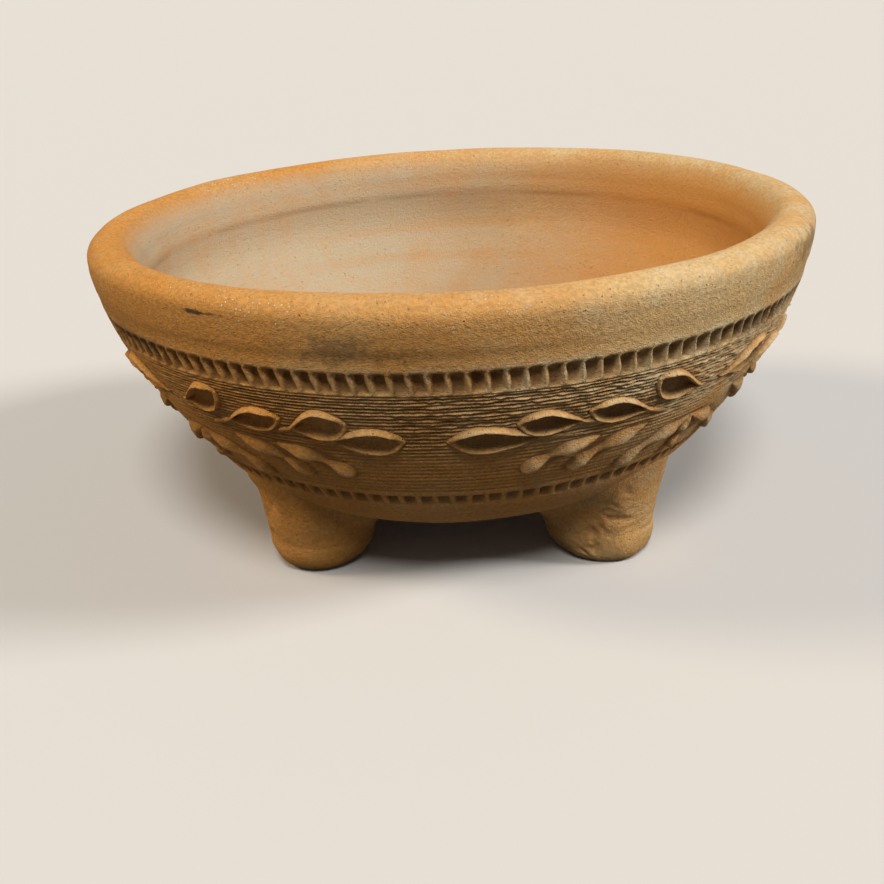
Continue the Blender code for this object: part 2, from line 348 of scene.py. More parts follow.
def clay_group():
    """Colour, roughness and surface height of the fired clay, from the place on the object."""
    group, given, made = shader_group("fired_clay", (
        ("Body", "Color", CLAY_BODY), ("Warm", "Color", CLAY_WARM), ("Pale", "Color", CLAY_PALE),
        ("Warmth", "Float", 0.5), ("Bloom and light", "Float", 0.3), ("Dirt and shade", "Float", 0.0), ("Specks", "Float", 0.1)),
        (("Color", "Color"), ("Roughness", "Float"), ("Height", "Float")))
    place = object_place(group)
    x, _, z = axes(group, place)
    cloud = noise_value(group, place, 13.0, 4.0, 0.55)
    mottle = noise_value(group, place, 70.0, 5.0, 0.6)
    grain = noise_value(group, place, 650.0, 3.0, 0.6)
    sand = noise_value(group, place, 2100.0, 2.0, 0.6)
    streak = noise_value(group, stretched(group, place, (14.0, 14.0, 420.0)), 1.0, 3.0, 0.6)

    # The clay's own warmth, with painted warm light on the left side and painted warm shade low on the wall.
    warmth = calc(group, "ADD", given["Warmth"], remap(group, cloud, 0.35, 0.66, -0.35, 0.35),
                  remap(group, x, *WARM_LIGHT_SIDE, 0.64, 0.0), remap(group, z, *LOW_SHADE_WARMTH, 0.0, 0.45))
    warmth = calc(group, "MINIMUM", calc(group, "MAXIMUM", warmth, 0.0), 1.0)
    color = blend(group, warmth, given["Body"], given["Warm"])

    # Pale bloom, fuller towards the right, where painted pale light also makes the whole clay paler.
    bloom_and_light = calc(group, "MULTIPLY", given["Bloom and light"], remap(group, x, *BLOOM_AND_LIGHT_SIDE, 0.25, 1.0))
    # A painted highlight pales the top of the rim.
    rim_highlight = calc(group, "MULTIPLY", remap(group, z, *RIM_HIGHLIGHT_HEIGHT, 0.0, 0.35),
                   remap(group, x, *RIM_HIGHLIGHT_SIDE))
    bloom_and_light = calc(group, "ADD", bloom_and_light, remap(group, x, *PALE_LIGHT_SIDE, 0.0, 0.46), rim_highlight)
    patchy = remap(group, mottle, 0.34, 0.72, 0.20, 0.80)
    bloom_and_light = calc(group, "MULTIPLY", patchy, calc(group, "MAXIMUM", bloom_and_light, 0.0))
    color = blend(group, calc(group, "MINIMUM", bloom_and_light, 1.0), color, given["Pale"])

    shade = calc(group, "ADD", remap(group, grain, *GRAIN, 0.84, 1.12),
                 remap(group, streak, *GRAIN, -0.03, 0.03))
    tone = group.nodes.new("ShaderNodeCombineColor")
    for channel in tone.inputs:
        group.links.new(shade, channel)
    color = blend(group, 1.0, color, tone.outputs[0], "MULTIPLY")

    fallen_out = remap(group, noise_value(group, place, 900.0, 1.0), 0.50, 0.66)
    pits = calc(group, "MULTIPLY", remap(group, dot_distance(group, place, 520.0), 0.20, 0.05), fallen_out)
    color = blend(group, calc(group, "MULTIPLY", pits, 0.35), color, CLAY_DIRT_AND_SHADE)
    ragged = calc(group, "ADD", dot_distance(group, place, 700.0), remap(group, grain, *GRAIN, -0.12, 0.12))
    clusters = remap(group, noise_value(group, place, 21.0, 3.0, 0.6), 0.46, 0.58)
    specks = calc(group, "MULTIPLY", remap(group, ragged, 0.24, 0.08), clusters, given["Specks"])
    color = blend(group, specks, color, CLAY_LIME)
    # Dirt and painted shade in what was pressed in.
    dirt_and_shade = calc(group, "MULTIPLY", given["Dirt and shade"], remap(group, mottle, 0.25, 0.7, 1.0, 0.55))
    color = blend(group, dirt_and_shade, color, CLAY_DIRT_AND_SHADE)

    height = calc(group, "ADD", calc(group, "MULTIPLY", grain, 0.5), calc(group, "MULTIPLY", sand, 0.45),
                  calc(group, "MULTIPLY", streak, 0.12), calc(group, "MULTIPLY", pits, -0.8))
    group.links.new(color, made["Color"])
    group.links.new(remap(group, mottle, *GRAIN, 0.78, 0.94), made["Roughness"])
    group.links.new(height, made["Height"])
    return group


fired_clay = clay_group()


def clay_material(name, warmth, bloom_and_light, bump, recess=0.0, wear_and_highlight=0.0):
    """A clay finish. Returns the material and its parts, so that a piece can add its own marks."""
    material = bpy.data.materials.new(name)
    material.use_nodes = True
    tree = material.node_tree
    shader = tree.nodes["Principled BSDF"]
    shader.inputs["Specular IOR Level"].default_value = 0.22
    clay = tree.nodes.new("ShaderNodeGroup")
    clay.node_tree = fired_clay
    clay.inputs["Warmth"].default_value = warmth
    clay.inputs["Bloom and light"].default_value = bloom_and_light
    # The recess gives dirt and painted shade.
    if recess:
        tree.links.new(calc(tree, "MULTIPLY", attribute(tree, "recess"), recess), clay.inputs["Dirt and shade"])
    # Proud parts get wear and a painted highlight.
    if wear_and_highlight:
        tree.links.new(calc(tree, "MULTIPLY_ADD", attribute(tree, "wear_and_highlight"), wear_and_highlight, bloom_and_light), clay.inputs["Bloom and light"])
    relief = tree.nodes.new("ShaderNodeBump")
    relief.inputs["Distance"].default_value = bump
    tree.links.new(clay.outputs["Height"], relief.inputs["Height"])
    tree.links.new(clay.outputs["Color"], shader.inputs["Base Color"])
    tree.links.new(clay.outputs["Roughness"], shader.inputs["Roughness"])
    tree.links.new(relief.outputs["Normal"], shader.inputs["Normal"])
    return material, tree, clay, shader


# The bowl's own finish
# Smoke under the rim, a short black scuff, and a painted highlight on the ridges between the stamps and comb
# lines. The inside is greyer where soil and water stood, and warmer on its right.
BOWL_BLOOM = 0.32
RIDGE_HIGHLIGHT_LOW = (0.074, 0.084)    # heights between which the painted highlight on the ridges begins and ends
RIDGE_HIGHLIGHT_HIGH = (0.1145, 0.1115)
SPECK_HEIGHT = (0.117, 0.128)  # lime shows towards the rim, and more on the left
SPECK_SIDE = (0.05, -0.02)
INSIDE_LINE = 0.1135           # height of a thin line of painted shade where the rolled rim meets the inside wall
INSIDE_LINE_EDGE = (0.0022, 0.0002)
INSIDE_GREY = (0.61, 0.505, 0.345)
INSIDE_GREY_SIDE = (0.24, 0.04)
INSIDE_WARM_SIDE = (0.02, 0.11)


def wall_place(angle, z):
    """A place on the outside of the wall; the angle is in degrees from the front towards the right."""
    turn = math.radians(angle)
    return (float(wall_radius(z)) * math.sin(turn), -float(wall_radius(z)) * math.cos(turn), z)


# Smoke and the scuff as (middle, reach along each axis, strength).
SMOKE_MARKS = (
    (wall_place(-12.0, 0.1190), (0.026, 0.026, 0.0062), 0.46),
    (wall_place(-31.6, 0.1284), (0.0150, 0.0150, 0.0009), 0.95),
    (wall_place(66.0, 0.127), (0.030, 0.030, 0.007), 0.45),
    (wall_place(-52.0, 0.110), (0.035, 0.035, 0.007), 0.48),
    (wall_place(52.0, 0.106), (0.030, 0.030, 0.006), 0.35),
)


def smoke_group():
    """A soft, ragged stain round one place on the object."""
    group, given, made = shader_group("smoke_mark", (
        ("Centre", "Vector", (0, 0, 0)), ("Reach", "Vector", (0.01, 0.01, 0.01)), ("Strength", "Float", 0.5)),
        (("Mask", "Float"),))
    place = object_place(group)
    away = vector_calc(group, "SUBTRACT", place, given["Centre"])
    away = vector_calc(group, "DIVIDE", away, given["Reach"])
    rough = remap(group, noise_value(group, place, 160.0, 4.0, 0.7), *GRAIN, -0.45, 0.45)
    ragged = calc(group, "ADD", vector_calc(group, "LENGTH", away), rough)
    group.links.new(calc(group, "MULTIPLY", remap(group, ragged, 1.0, 0.25), given["Strength"]), made["Mask"])
    return group


def bowl_finish():
    material, tree, clay, shader = clay_material("bowl_clay", 0.34, BOWL_BLOOM, bump=0.0011, recess=0.95)
    place = object_place(tree)
    x, _, z = axes(tree, place)
    inside = attribute(tree, "inside")
    outside = calc(tree, "SUBTRACT", 1.0, inside)

    wavy = calc(tree, "MULTIPLY_ADD", noise_value(tree, place, 17.0, 3.0), 0.16, x)
    damp = noise_value(tree, stretched(tree, place, (60.0, 60.0, 28.0)), 1.0, 5.0, 0.65)
    grey = calc(tree, "MULTIPLY", inside, remap(tree, wavy, *INSIDE_GREY_SIDE),
                remap(tree, damp, 0.34, 0.60, 0.74, 1.0))
    color = blend(tree, grey, clay.outputs["Color"], INSIDE_GREY)
    warm = calc(tree, "MULTIPLY", inside, remap(tree, x, *INSIDE_WARM_SIDE, 0.0, 0.75))
    color = blend(tree, warm, color, CLAY_WARM)
    bands = noise_value(tree, stretched(tree, place, (6.0, 6.0, 95.0)), 1.0, 3.0, 0.55)
    banded = calc(tree, "MULTIPLY", inside, remap(tree, bands, 0.50, 0.68, 0.0, 0.25))
    color = blend(tree, banded, color, CLAY_WARM)
    # A thin, broken line of painted shade where the rolled rim meets the inside wall.
    off_line = calc(tree, "ABSOLUTE", calc(tree, "SUBTRACT", z, INSIDE_LINE))
    broken = remap(tree, noise_value(tree, place, 21.0, 3.0), 0.40, 0.62, 0.03, 0.25)
    line = calc(tree, "MULTIPLY", inside, remap(tree, off_line, *INSIDE_LINE_EDGE), broken)
    color = blend(tree, line, color, CLAY_DIRT_AND_SHADE)

    smoke_mark = smoke_group()
    for centre, reach, strength in SMOKE_MARKS:
        stain = tree.nodes.new("ShaderNodeGroup")
        stain.node_tree = smoke_mark
        stain.inputs["Centre"].default_value = centre
        stain.inputs["Reach"].default_value = reach
        stain.inputs["Strength"].default_value = strength
        color = blend(tree, calc(tree, "MULTIPLY", stain.outputs["Mask"], outside), color, CLAY_SOOT)
    tree.links.new(color, shader.inputs["Base Color"])

    specks = calc(tree, "MULTIPLY", remap(tree, z, *SPECK_HEIGHT, 0.02, 1.0),
                  remap(tree, x, *SPECK_SIDE, 0.35, 1.0))
    tree.links.new(specks, clay.inputs["Specks"])
    # A painted highlight on the ridges between the comb lines and the stamps.
    ridges = calc(tree, "SUBTRACT", 1.0, attribute(tree, "recess"))
    ridge_highlight = calc(tree, "MULTIPLY", remap(tree, z, *RIDGE_HIGHLIGHT_LOW), remap(tree, z, *RIDGE_HIGHLIGHT_HIGH), ridges)
    bloom_and_light = calc(tree, "MULTIPLY_ADD", ridge_highlight, 0.85, BOWL_BLOOM)
    tree.links.new(calc(tree, "MULTIPLY_ADD", inside, -0.70, bloom_and_light), clay.inputs["Bloom and light"])
    return material


bowl_clay = bowl_finish()


# The marks made on the wheel
# While the bowl still turned, its belly was scored with a coarse comb, and a toothed roller was run round
# above and below the combing. The throwing itself left the wall faintly uneven.
COMB_WANDER = 0.14             # how far a comb line strays, as a share of the space between lines
COMB_ENDS = ((-0.005, 0.02), (1.005, 0.985))
TORN_SIDE = (-0.05, 0.02)      # x from where the teeth left the clay whole to where they tore it most
STAMP_SEED = 7
# Depth across one notch of the roller: a steep left side, and a floor that rises to the right.
STAMP_PROFILE = ((0.0, 0.0), (0.10, 0.0), (0.16, 1.0), (0.42, 1.0), (0.66, 0.80), (0.78, 0.50), (0.84, 0.0),
                 (1.0, 0.0))


def new_piece(name, mesh, material):
    mesh.materials.clear()
    mesh.materials.append(material)
    piece = bpy.data.objects.new(name, mesh)
    bpy.context.scene.collection.objects.link(piece)
    return piece


def geometry_tree(name, sizes):
    tree = bpy.data.node_groups.new(name, "GeometryNodeTree")
    tree.is_modifier = True
    tree.interface.new_socket(name="Bowl", in_out="INPUT", socket_type="NodeSocketGeometry")
    for label in sizes:
        tree.interface.new_socket(name=label, in_out="INPUT", socket_type="NodeSocketFloat")
    tree.interface.new_socket(name="Clay", in_out="INPUT", socket_type="NodeSocketMaterial")
    tree.interface.new_socket(name="Bowl", in_out="OUTPUT", socket_type="NodeSocketGeometry")
    return tree, tree.nodes.new("NodeGroupInput").outputs


def named_value(tree, name):
    node = tree.nodes.new("GeometryNodeInputNamedAttribute")
    node.data_type = "FLOAT"
    node.inputs["Name"].default_value = name
    return node.outputs["Attribute"]


def outer_part(tree):
    return calc(tree, "SUBTRACT", 1.0, named_value(tree, "inside"))


def place_on_bowl(tree):
    """The place of a point of the bowl, its x, its turn round the wheel as a share, and its height."""
    place = tree.nodes.new("GeometryNodeInputPosition").outputs[0]
    x, y, height = axes(tree, place)
    return place, x, calc(tree, "DIVIDE", calc(tree, "ARCTAN2", y, x), 2 * math.pi), height


def swing(tree, vector, scale, detail):
    """Noise that swings to either side of nought."""
    return calc(tree, "SUBTRACT", noise_value(tree, vector, scale, detail), 0.5)


def press_in(tree, given, depth, recess, drag=0.0):
    """Move the surface in by a depth and sideways by a drag, note where it was pressed, and end the tree."""
    normal = tree.nodes.new("GeometryNodeInputNormal").outputs[0]
    push = vector_calc(tree, "SCALE", normal, calc(tree, "MULTIPLY", depth, -1.0))
    pull = vector_calc(tree, "SCALE", vector_calc(tree, "CROSS_PRODUCT", (0, 0, 1), normal), drag)
    place = tree.nodes.new("GeometryNodeSetPosition")
    tree.links.new(given["Bowl"], place.inputs["Geometry"])
    tree.links.new(vector_calc(tree, "ADD", push, pull), place.inputs["Offset"])
    store = tree.nodes.new("GeometryNodeStoreNamedAttribute")
    store.data_type = "FLOAT"
    store.domain = "POINT"
    store.inputs["Name"].default_value = "recess"
    tree.links.new(place.outputs[0], store.inputs["Geometry"])
    tree.links.new(calc(tree, "MAXIMUM", recess, named_value(tree, "recess")), store.inputs["Value"])
    real = tree.nodes.new("GeometryNodeRealizeInstances")
    tree.links.new(store.outputs[0], real.inputs[0])
    finish = tree.nodes.new("GeometryNodeSetMaterial")
    tree.links.new(real.outputs[0], finish.inputs["Geometry"])
    tree.links.new(given["Clay"], finish.inputs["Material"])
    tree.links.new(finish.outputs[0], tree.nodes.new("NodeGroupOutput").inputs[0])


def thrown_tree():
    """Slow unevenness of a hand-thrown wall, with faint rings left by the fingers."""
    tree, given = geometry_tree("thrown_wall", ("Lump", "Ring"))
    place = place_on_bowl(tree)[0]
    lump = calc(tree, "MULTIPLY", swing(tree, place, 16.0, 2.0), given["Lump"])
    fingers = swing(tree, stretched(tree, place, (5.0, 5.0, 210.0)), 1.0, 2.0)
    ring = calc(tree, "MULTIPLY", fingers, given["Ring"])
    press_in(tree, given, calc(tree, "ADD", lump, ring), 0.0)
    return tree


def comb_tree():
    """Comb lines round the belly, ragged where the teeth tore the clay."""
    tree, given = geometry_tree("comb_lines", (
        "Low", "High", "Low step", "High step", "Low depth", "High depth", "Tear"))
    place, x, _, height = place_on_bowl(tree)
    span = calc(tree, "SUBTRACT", given["High"], given["Low"])
    rise = calc(tree, "SUBTRACT", height, given["Low"])
    share = calc(tree, "DIVIDE", rise, span)
    rate = calc(tree, "DIVIDE", calc(tree, "SUBTRACT", given["High step"], given["Low step"]), span)
    grown = calc(tree, "DIVIDE", calc(tree, "MULTIPLY", rate, rise), given["Low step"])
    grown = calc(tree, "MAXIMUM", calc(tree, "ADD", 1.0, grown), 0.05)
    line = calc(tree, "DIVIDE", calc(tree, "LOGARITHM", grown, math.e), rate)
    wander = calc(tree, "MULTIPLY", swing(tree, place, 30.0, 2.0), COMB_WANDER)
    wave = calc(tree, "COSINE", calc(tree, "MULTIPLY", calc(tree, "ADD", line, wander), 2 * math.pi))
    groove = calc(tree, "POWER", calc(tree, "MULTIPLY_ADD", wave, 0.5, 0.5), 1.5)
    combed = calc(tree, "MULTIPLY", remap(tree, share, *COMB_ENDS[0]), remap(tree, share, *COMB_ENDS[1]),
                  outer_part(tree))
    deeper = calc(tree, "SUBTRACT", given["High depth"], given["Low depth"])
    deep = calc(tree, "MULTIPLY_ADD", remap(tree, share, 0.36, 0.66), deeper, given["Low depth"])
    torn = noise_value(tree, stretched(tree, place, (170.0, 170.0, 420.0)), 1.0, 3.0, 0.6)
    crumb = noise_value(tree, stretched(tree, place, (480.0, 480.0, 760.0)), 1.0, 1.0)
    crumbs = calc(tree, "MULTIPLY", calc(tree, "ADD", torn, crumb, -1.0), given["Tear"],
                  remap(tree, share, 0.38, 0.75), remap(tree, x, *TORN_SIDE, 0.30, 1.0))
    depth = calc(tree, "MULTIPLY", groove, deep, remap(tree, torn, *GRAIN, 0.60, 1.35))
    depth = calc(tree, "MULTIPLY", calc(tree, "ADD", depth, crumbs), combed)
    # The grooves are darkened with dirt and painted shade, more towards the top and where the clay tore.
    groove_dirt_and_shade = calc(tree, "MULTIPLY", groove, combed, remap(tree, share, 0.3, 0.7, 0.34, 1.05),
                remap(tree, torn, 0.3, 0.62, 0.60, 1.0))
    press_in(tree, given, depth, groove_dirt_and_shade)
    return tree


def stamp_tree():
    """A ring of notches from a toothed roller, each pressed with its own force."""
    tree, given = geometry_tree("roller_stamp", (
        "Teeth", "Low", "High", "Depth", "Edge", "Lean", "Unevenness", "Foot"))
    place, _, turn, height = place_on_bowl(tree)
    count = calc(tree, "MULTIPLY_ADD", turn, given["Teeth"], 0.001)
    chance = tree.nodes.new("FunctionNodeRandomValue")
    chance.data_type = "FLOAT"
    chance.inputs["Seed"].default_value = STAMP_SEED
    tree.links.new(calc(tree, "FLOOR", count), chance.inputs["ID"])
    luck = calc(tree, "SUBTRACT", chance.outputs[1], 0.5)
    curve = tree.nodes.new("ShaderNodeFloatCurve")
    points = curve.mapping.curves[0].points
    for _ in STAMP_PROFILE[2:]:
        points.new(0.5, 0.5)
    for point, place_and_depth in zip(points, STAMP_PROFILE):
        point.location = place_and_depth
        point.handle_type = "VECTOR"
    curve.mapping.update()
    tree.links.new(calc(tree, "FRACT", count), curve.inputs["Value"])
    low = calc(tree, "MULTIPLY_ADD", luck, calc(tree, "MULTIPLY", given["Edge"], 0.8), given["Low"])
    rise = remap(tree, height, low, calc(tree, "ADD", low, given["Edge"]))
    fall = remap(tree, height, given["High"], calc(tree, "SUBTRACT", given["High"], given["Edge"]))
    band = calc(tree, "MULTIPLY", rise, fall, outer_part(tree))
    ramp = remap(tree, height, given["Low"], given["High"], given["Foot"], 1.0)
    shape = calc(tree, "MULTIPLY", curve.outputs[0], band, ramp)
    rough = calc(tree, "MULTIPLY", swing(tree, place, 420.0, 2.0), 0.6)
    patch = calc(tree, "MULTIPLY", swing(tree, place, 24.0, 2.0), given["Unevenness"])
    force = calc(tree, "ADD", 1.0, calc(tree, "MULTIPLY", luck, 0.5), rough, patch)
    depth = calc(tree, "MULTIPLY", shape, given["Depth"], calc(tree, "MAXIMUM", force, 0.15))
    leaning = remap(tree, height, given["Low"], given["High"], 0.5, -0.5)
    leaning = calc(tree, "MULTIPLY_ADD", swing(tree, place, 150.0, 1.0), 1.6, leaning)
    drag = calc(tree, "MULTIPLY", leaning, given["Lean"], band)
    # The notches are darkened with dirt and painted shade.
    press_in(tree, given, depth, calc(tree, "MINIMUM", calc(tree, "MULTIPLY", shape, 2.0), 1.0), drag)
    return tree


def work_bowl(piece, tree, values):
    """Run one geometry tree on the bowl and keep its result as the bowl's plain mesh."""
    step = piece.modifiers.new(tree.name, "NODES")
    step.node_group = tree
    for item in tree.interface.items_tree:
        if item.in_out == "INPUT" and item.name in values:
            step[item.identifier] = values[item.name]
    graph = bpy.context.evaluated_depsgraph_get()
    result = bpy.data.meshes.new_from_object(piece.evaluated_get(graph))
    piece.modifiers.remove(step)
    former = piece.data
    piece.data = result
    bpy.data.meshes.remove(former)


bowl = new_piece("thrown_bowl", bowl_mesh, bowl_clay)
work_bowl(bowl, thrown_tree(), {"Lump": 0.0016, "Ring": 0.0006, "Clay": bowl_clay})
work_bowl(bowl, comb_tree(), {"Low": COMB_LOW, "High": COMB_HIGH, "Low step": COMB_STEP_LOW,
                              "High step": COMB_STEP_HIGH, "Low depth": 0.00036, "High depth": 0.0018,
                              "Tear": 0.0017, "Clay": bowl_clay})
roller_stamp = stamp_tree()
work_bowl(bowl, roller_stamp, {"Teeth": float(UPPER_TEETH), "Low": UPPER_BAND[0], "High": UPPER_BAND[1],
                               "Depth": 0.0036, "Edge": BAND_EDGE, "Lean": 0.0012, "Unevenness": 0.5,
                               "Foot": 0.40, "Clay": bowl_clay})
work_bowl(bowl, roller_stamp, {"Teeth": float(LOWER_TEETH), "Low": LOWER_BAND[0], "High": LOWER_BAND[1],
                               "Depth": 0.0027, "Edge": BAND_EDGE, "Lean": 0.0010, "Unevenness": 1.6,
                               "Foot": 0.12, "Clay": bowl_clay})
bowl.data.shade_smooth()
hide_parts("bowl")
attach(bowl, "root")


# The feet
# Four short plugs of the same clay, pressed on under the belly below each spray and smoothed into the wall
# with the thumb, so that each one flares where it meets the bowl and has a flat, folded side.
FOOT_CIRCLE = 0.0840
FOOT_LEAN = 0.0038
FOOT_LENGTH = 0.052
FOOT_SOLES = (0.0156, 0.0120, 0.0125, 0.0122)   # radius of each worn sole
FOOT_RADIUS = 0.0230
FOOT_TOP_RADIUS = 0.0310
FOOT_EDGE = 0.0140
FOOT_TOPS = (0.004, 0.060)     # heights between which the foot's top is looked for
FOOT_SKIRT = 0.0042            # how far the smeared clay spreads at the joint, less so on the outside
FOOT_SKIRT_OUTSIDE = 0.0008
FOOT_SKIRT_REACH = 0.0100
FOOT_SINK = 0.0030             # how deep the foot's top lies below the bowl's surface
FOOT_LUMPS = 0.0011
FOOT_SMALL_LUMPS = 0.0005
FOOT_WRINKLES = 0.0040
THUMB_FLAT = 0.0016            # how deep a thumb pressed one side of the foot flat
THUMB_TURN = 78.0              # degrees from the foot's outer side to that flat
THUMB_STRAY = 12.0             # by which it differs from one foot to the next
FOLD_DEPTH = 0.0020            # small slanting folds beside the flat
FOLD_PLACE = (0.012, 0.020)    # distance from the flat's middle, and height, of the strip that they fill
FOLD_STRIP_SLOPE = 0.45
FOLD_STRIP_WIDTH = 0.0050
FOLD_ALONG = (0.82, -0.57)
FOLD_SPACING = 0.0019
FOLD_LENGTH = 0.0060
FOOT_SIDES = 192
FOOT_ROWS = 64
SPRAY_ANGLES = {"front_right": 45.0, "rear_right": 135.0, "rear_left": 225.0, "front_left": 315.0}

skin_path = [(r, BASE_HEIGHT) for r in steps(0.0, BASE_FLAT_RADIUS, 6)] + base_curve(40)
skin_path += [(float(wall_radius(z)), z) for z in steps(BELLY_LINE, COMB_HIGH, 60)]
skin = np.array(skin_path)
skin_out = np.gradient(skin, axis=0)
skin_out = np.stack([skin_out[:, 1], -skin_out[:, 0]], axis=1)
skin_out /= np.linalg.norm(skin_out, axis=1)[:, None]


def clearance(x, y, z):
    """Distance of a place from the outside of the bowl; negative below its surface."""
    away = np.array((math.hypot(x, y), z)) - skin
    nearest = int((away ** 2).sum(axis=1).argmin())
    return float(away[nearest] @ skin_out[nearest])


def foot_radius(z, sole):
    if z < FOOT_EDGE:
        return sole + (FOOT_RADIUS - sole) * math.sin(math.acos(1 - z / FOOT_EDGE))
    return FOOT_RADIUS + (FOOT_TOP_RADIUS - FOOT_RADIUS) * (z - FOOT_EDGE) / (FOOT_LENGTH - FOOT_EDGE)


def thumb_marks(side, z, thumb, seed):
    """How deep the thumb's flat and the folds beside it lie; thumb is the direction that the flat faces."""
    flat = THUMB_FLAT * smooth(0.55, 0.98, math.cos(side - thumb))
    off = FOOT_RADIUS * math.remainder(side - thumb, 2 * math.pi)
    strip = FOLD_PLACE[0] + FOLD_STRIP_SLOPE * (z - FOLD_PLACE[1])
    beside = math.exp(-((off - strip) / FOLD_STRIP_WIDTH) ** 2)
    cos, sin = FOLD_ALONG
    fold = Vector(((cos * z - sin * off) / FOLD_SPACING, (cos * off + sin * z) / FOLD_LENGTH, seed * 7.0))
    return flat + FOLD_DEPTH * beside * max(0.0, noise.noise(fold) + 0.1)


def join_loops(shape, loops):
    """Faces between closed loops of like length, and a cap at each end."""
    count = len(loops[0])
    for one, two in zip(loops, loops[1:]):
        for k in range(count):
            j = (k + 1) % count
            shape.faces.new((one[k], one[j], two[j], two[k]))
    for loop in (loops[0], loops[-1]):
        heart = shape.verts.new(sum((vert.co for vert in loop), Vector()) / count)
        for k in range(count):
            shape.faces.new((loop[k], loop[(k + 1) % count], heart))


def closed_mesh(name, shape):
    """The plain mesh of a finished shape, with its faces turned outwards."""
    bmesh.ops.recalc_face_normals(shape, faces=shape.faces)
    mesh = bpy.data.meshes.new(name)
    shape.to_mesh(mesh)
    shape.free()
    mesh.shade_smooth()
    return mesh


def foot_mesh(name, angle, seed):
    turn = math.radians(angle)
    out = (math.sin(turn), -math.cos(turn))
    thumb = turn - math.radians(90 + THUMB_TURN - THUMB_STRAY * seed)
    sides = [2 * math.pi * k / FOOT_SIDES for k in range(FOOT_SIDES)]

    def surface(side, z):
        centre = FOOT_CIRCLE - FOOT_LEAN * z / FOOT_LENGTH
        radius = foot_radius(z, FOOT_SOLES[seed])
        ray = (math.cos(side), math.sin(side))
        x, y = centre * out[0] + radius * ray[0], centre * out[1] + radius * ray[1]
        near = max(0.0, 1 - max(clearance(x, y, z), -0.002) / FOOT_SKIRT_REACH)
        facing = smooth(-0.3, 0.5, ray[0] * out[0] + ray[1] * out[1])
        radius += (FOOT_SKIRT + (FOOT_SKIRT_OUTSIDE - FOOT_SKIRT) * facing) * near * near
        calm = 1 - smooth(0.5, 1.0, near)
        spot = Vector((ray[0] * 0.9, ray[1] * 0.9, z * 30 + seed * 5.0))
        radius += calm * (FOOT_LUMPS * noise.noise(spot) + FOOT_SMALL_LUMPS * noise.noise(spot * 2.7))
        wrinkled = max(0.0, noise.noise(spot * 1.4 + Vector((4.0, 0, 0))) - 0.05)
        wrinkle = Vector((ray[0] * 2.0 + z * 90, ray[1] * 2.0, z * 260 + seed * 3.0))
        radius -= calm * FOOT_WRINKLES * wrinkled * abs(noise.noise(wrinkle))
        radius -= calm * thumb_marks(side, z, thumb, seed)
        return centre * out[0] + radius * ray[0], centre * out[1] + radius * ray[1], z

    tops = []
    for side in sides:
        low, high = FOOT_TOPS
        for _ in range(18):
            middle = (low + high) / 2
            if clearance(*surface(side, middle)) > -FOOT_SINK:
                low = middle
            else:
                high = middle
        tops.append(low)
    shape = bmesh.new()
    rings = []
    for i in range(FOOT_ROWS + 1):
        share = (i / FOOT_ROWS) ** 1.35
        rings.append([shape.verts.new(surface(side, top * share)) for side, top in zip(sides, tops)])
    join_loops(shape, rings)
    return closed_mesh(name, shape)


foot_clay = clay_material("foot_clay", 0.15, 0.40, bump=0.0010)[0]
for seed, (place_name, angle) in enumerate(SPRAY_ANGLES.items()):
    foot = new_piece("stub_foot_" + place_name, foot_mesh("stub_foot_" + place_name, angle, seed), foot_clay)
    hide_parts("foot_" + place_name)
    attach(foot, "root")


# The leaf sprays
# Small pads of soft clay, stuck to the combed wall with slip and shaped where they sit: four on each wing
# are pressed hollow with a thumb, so that a low lip stands round them; the lower ones are raised tongues.
SPRAY_TURN = -2.2              # degrees by which the sprays were set round from the middle of the feet
LEAF_SIDES = 72
LEAF_HEART = 0.62              # place along a leaf that its outline shrinks towards
LEAF_FULLNESS = 1.7            # powers that give a leaf its outline, widest near the tip
LEAF_BLUNTNESS = 0.70
LEAF_LIP = 0.0019
LEAF_BED = 0.0003              # how deep a pad is bedded in the wall
LEAST_HALF = 0.0003
HOLLOW_DROP = 0.0003           # the thumb pressed each hollow a little below the middle of its pad
HOLLOW_DEPTH = 0.0036          # how deep the wall gives way under a hollow
# Section of a hollow leaf as (share of the outline, height above the wall on its upper and lower side): the
# thumb left a high lip above and drew the clay out thin below.
HOLLOW_LEAF = ((1.12, -0.0016, -0.0016), (1.06, -0.0002, -0.0004), (1.01, 0.0011, 0.0005),
               (0.97, 0.0018, 0.0011), (0.93, 0.0021, 0.0012), (0.89, 0.0019, 0.0009), (0.85, 0.0009, 0.0003),
               (0.80, -0.0008, -0.0004), (0.72, -0.0021, -0.0012), (0.58, -0.0027, -0.0020),
               (0.40, -0.0029, -0.0026), (0.20, -0.0029, -0.0028))
STEM_HALF_WIDTH = 0.0011
STEM_TOP = 0.0008
STEM_END = 0.16                # place along a leaf where its stem has run in
STEM_STATIONS = 12
STEM_ARCH = 6
STEM_SKIRT = (0.0004, 0.0014)  # how far a stem's hidden edge spreads and lies below the wall
TONGUE_STATIONS = 36
TONGUE_HEIGHT = 0.0024
TONGUE_SKIRT = (0.0005, 0.0016)
TONGUE_TAIL = 0.10             # shares of a tongue's length that round off its two ends
TONGUE_TIP = 0.13
# Section of a tongue from its lower to its upper edge: the thumb tilted its face upwards.
TONGUE_SECTION = ((-1.0, 0.0), (-0.94, 0.40), (-0.84, 0.70), (-0.68, 0.92), (-0.45, 1.0), (-0.2, 0.94),
                  (0.1, 0.80), (0.4, 0.60), (0.65, 0.40), (0.85, 0.20), (1.0, -0.02))
